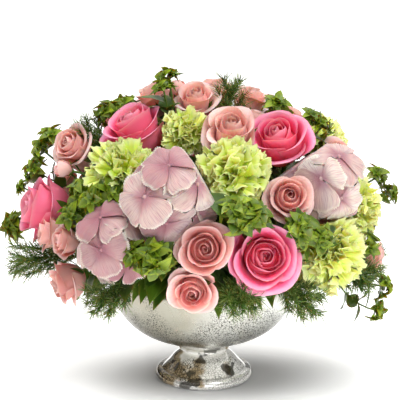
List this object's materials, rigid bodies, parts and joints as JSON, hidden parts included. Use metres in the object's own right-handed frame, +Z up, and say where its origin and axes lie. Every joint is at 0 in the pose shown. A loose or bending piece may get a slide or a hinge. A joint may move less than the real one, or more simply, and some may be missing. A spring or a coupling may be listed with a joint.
{
  "type": "floral table centerpiece",
  "caption": "Round all-sided arrangement of roses, carnations, hydrangea and greens in foam, in a silvered glass footed bowl.",
  "frame": {"origin": "middle of the foot's flat underside, on the bowl's axis, where the bowl stands on a table", "axes": "+Z up along the bowl's axis; -Y is the front; +X is to the right seen from the front, along the widest spread of the flowers"},
  "size_m": [0.4228, 0.3735, 0.3414],
  "materials": {
    "silvered_glass": "silvered on the inside, speckled, glossy",
    "foam": "open-cell floral foam, wet, matt",
    "anchor_tape": "waterproof cloth-backed tape, low sheen",
    "large_rose": "fresh petal, soft sheen, hot pink with paler edges",
    "carnation": "fresh petal, ruffled, lime green with pale edges",
    "hydrangea": "fresh sepal, matt, mauve pink",
    "spray_rose": "fresh petal, soft sheen, blush to peach",
    "bupleurum": "fresh leaf, satin, yellow green",
    "fern": "fresh needle foliage, dark green"
  },
  "bodies": {
    "root": {"glass_bowl": "silvered_glass", "floral_foam": "foam", "anchor_tape": "anchor_tape", "large_rose_1": "large_rose", "large_rose_2": "large_rose", "large_rose_3": "large_rose", "large_rose_4": "large_rose", "large_rose_5": "large_rose", "large_rose_6": "large_rose", "large_rose_7": "large_rose", "carnation_1": "carnation", "carnation_2": "carnation", "carnation_3": "carnation", "carnation_4": "carnation", "carnation_5": "carnation", "carnation_6": "carnation", "carnation_7": "carnation", "carnation_8": "carnation", "carnation_9": "carnation", "hydrangea_1": "hydrangea", "hydrangea_2": "hydrangea", "hydrangea_3": "hydrangea", "hydrangea_4": "hydrangea", "hydrangea_5": "hydrangea", "spray_rose_1": "spray_rose", "spray_rose_2": "spray_rose", "spray_rose_3": "spray_rose", "spray_rose_4": "spray_rose", "spray_rose_5": "spray_rose", "spray_rose_6": "spray_rose", "spray_rose_7": "spray_rose", "spray_rose_8": "spray_rose", "spray_rose_9": "spray_rose", "spray_rose_10": "spray_rose", "spray_rose_11": "spray_rose", "spray_rose_12": "spray_rose", "spray_rose_13": "spray_rose", "spray_rose_14": "spray_rose", "bupleurum_1": "bupleurum", "bupleurum_2": "bupleurum", "bupleurum_3": "bupleurum", "bupleurum_4": "bupleurum", "bupleurum_5": "bupleurum", "bupleurum_6": "bupleurum", "bupleurum_7": "bupleurum", "bupleurum_8": "bupleurum", "bupleurum_9": "bupleurum", "bupleurum_10": "bupleurum", "bupleurum_11": "bupleurum", "bupleurum_12": "bupleurum", "fern_1": "fern", "fern_2": "fern", "fern_3": "fern", "fern_4": "fern", "fern_5": "fern", "fern_6": "fern", "fern_7": "fern", "fern_8": "fern", "fern_9": "fern", "fern_10": "fern"}
  },
  "joints": []
}
